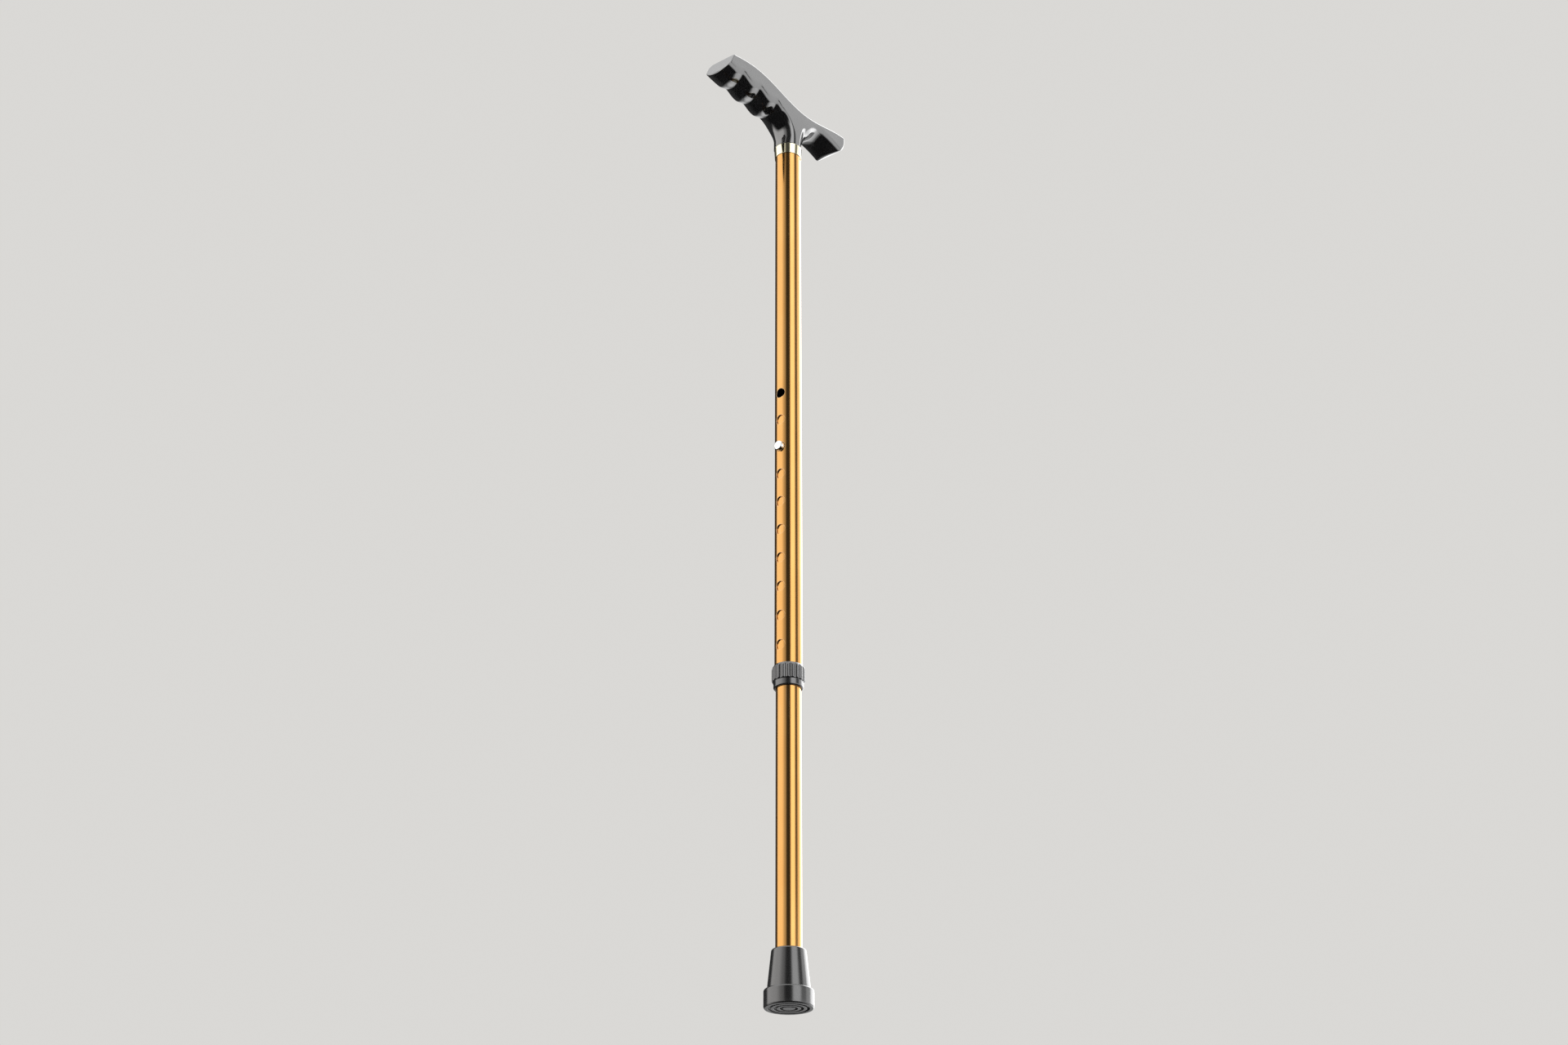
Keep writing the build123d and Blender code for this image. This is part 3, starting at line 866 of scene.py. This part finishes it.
# ---------------------------------------------------------------- camera: from in front and below
scene = bpy.context.scene
view_azimuth, view_pitch = math.radians(38.0), math.radians(26.9)
camera_away, camera_aside, camera_z = 1.5785, -0.0035, -0.4026
towards = Vector((math.cos(view_azimuth), math.sin(view_azimuth), 0))
right_hand = Vector((-math.sin(view_azimuth), math.cos(view_azimuth), 0))
camera_data = bpy.data.cameras.new("camera")
camera_data.lens = 50.0
camera_data.sensor_width = 36.0
camera_data.clip_start = 0.05
camera_data.clip_end = 60.0
camera = bpy.data.objects.new("camera", camera_data)
scene.collection.objects.link(camera)
forward = -towards * math.cos(view_pitch) + Vector((0, 0, math.sin(view_pitch)))
above = towards * math.sin(view_pitch) + Vector((0, 0, math.cos(view_pitch)))
stance = Matrix((right_hand, above, -forward)).transposed().to_4x4()
stance.translation = towards * camera_away + right_hand * camera_aside + Vector((0, 0, camera_z))
camera.matrix_world = stance
scene.camera = camera

# ---------------------------------------------------------------- floor, below the camera
bpy.ops.mesh.primitive_plane_add(size=30.0, location=(0, 0, -0.95))
floor = bpy.context.object
floor.name = "studio_floor"
paint = Finish("studio_floor_paint")
speckle = paint.noise(paint.position, 6.0, 4.0, 0.5)
pale_grey = paint.mix(speckle, (0.37, 0.365, 0.355), (0.39, 0.385, 0.375))
floor.data.materials.append(paint.finish(Base_Color=pale_grey, Roughness=0.75))
floor.visible_glossy = False

# ---------------------------------------------------------------- soft studio light all round
world = bpy.data.worlds.new("studio")
scene.world = world
world.use_nodes = True
world.node_tree.nodes.clear()
full_light = 8.0  # a ramp's colours end at 1, so lights are held as shares of this


def wnode(kind, inputs=None, **settings):
    return add_node(world.node_tree, kind, inputs, **settings)


def wmath(operation, a, b=0.0):
    return wnode("ShaderNodeMath", {0: a, 1: b}, operation=operation).outputs[0]


def wcolour(operation, a, b):
    return wnode("ShaderNodeVectorMath", {0: a, 1: b}, operation=operation).outputs[0]


def soft_ramp(value, low, high, stops, full=1.0):
    """A smooth ramp along value, which runs from 0 at low degrees to 1 at high degrees. stops are
    (degrees, light), where light is a number or a colour, as shares of full."""
    made = wnode("ShaderNodeValToRGB", {0: value})
    ramp = made.color_ramp
    ramp.interpolation = "EASE"
    while len(ramp.elements) > 1:
        ramp.elements.remove(ramp.elements[0])
    for k, (degrees, light) in enumerate(stops):
        spot = (degrees - low) / (high - low)
        element = ramp.elements[0] if k == 0 else ramp.elements.new(spot)
        element.position = spot
        tone = light if isinstance(light, tuple) else (light, light, light)
        element.color = (*[t / full for t in tone], 1)
    return made.outputs["Color"]


def lights_round(stops):
    """Light by the direction round the shaft, in degrees from straight behind the camera."""
    return soft_ramp(turn, -180, 180, stops, full_light)


def lights_up(stops):
    """Light by the height above the horizon, in degrees."""
    return soft_ramp(climb, -90, 90, stops, full_light)


def reach_up(stops):
    """Share of a light that is left at each height above the horizon."""
    return soft_ramp(climb, -90, 90, stops)


look = wnode("ShaderNodeTexCoord").outputs["Generated"]
dx, dy, dz = wnode("ShaderNodeSeparateXYZ", {0: look}).outputs
round_way = wmath("SUBTRACT", wmath("ARCTAN2", dy, dx), view_azimuth)
turn = wmath("FRACT", wmath("ADD", wmath("DIVIDE", round_way, 2 * math.pi), 1.5))
climb = wmath("ADD", wmath("DIVIDE", wmath("ARCSINE", dz), math.pi), 0.5)

# Tall softboxes left and right of the camera, with dark gaps between them
warm = (1.02, 1.0, 0.98)
boxes = lights_round(
    [
        (-180, 0.04),
        (-120, 0.04),
        (-107, tuple(1.5 * w for w in warm)),
        (-62, tuple(1.45 * w for w in warm)),
        (-30, tuple(0.6 * w for w in warm)),
        (-13, 0.02),
        (11, 0.02),
        (25, 1.9),
        (50, 1.9),
        (66, 0.14),
        (80, 0.14),
        (90, 1.28),
        (112, 1.28),
        (124, 0.0),
        (180, 0.0),
    ]
)
# A low light on the flat side of the handle, and a bright one behind the object for its rims
side = lights_round([(0, 0.0), (48, 0.0), (62, 1.28), (112, 1.28), (124, 0.0)])
back = lights_round([(-180, 1.2), (-166, 0.0), (107, 0.0), (119, 3.7), (168, 3.7), (180, 1.0)])
boxes = wcolour("MULTIPLY", boxes, reach_up([(-36, 0.0), (-10, 1.0), (44, 1.0), (56, 0.0)]))
side = wcolour("MULTIPLY", side, reach_up([(-36, 0.0), (-10, 1.0), (10, 1.0), (18, 0.0)]))
back_reach = [(-48, 0.0), (-36, 0.125), (-26, 0.35), (-8, 0.45), (12, 1.0), (50, 1.0), (60, 0.0)]
back = wcolour("MULTIPLY", back, reach_up(back_reach))
overhead = lights_up([(46, 0.0), (58, 1.45)])
fill = lights_up([(-40, 0.015), (0, 0.03)])
light = wcolour("MAXIMUM", wcolour("MAXIMUM", boxes, side), back)
light = wcolour("ADD", light, wcolour("ADD", overhead, fill))
lit = wnode("ShaderNodeBackground", {"Color": light, "Strength": full_light})
seen = wnode("ShaderNodeBackground", {"Color": (0.70, 0.69, 0.67, 1), "Strength": 1.0})
which = wnode("ShaderNodeLightPath").outputs["Is Camera Ray"]
mixed = wnode("ShaderNodeMixShader", {0: which, 1: lit.outputs[0], 2: seen.outputs[0]})
wnode("ShaderNodeOutputWorld", {0: mixed.outputs[0]})

# A broad lamp overhead, for the floor's shading
lamp_data = bpy.data.lights.new("softbox", "AREA")
lamp_data.shape = "SQUARE"
lamp_data.size = 1.6
lamp_data.energy = 14.0
lamp = bpy.data.objects.new("softbox", lamp_data)
lamp.location = (0.2, 0.1, 2.6)
lamp.visible_glossy = False
scene.collection.objects.link(lamp)

scene.view_settings.view_transform = "Standard"
scene.view_settings.look = "None"
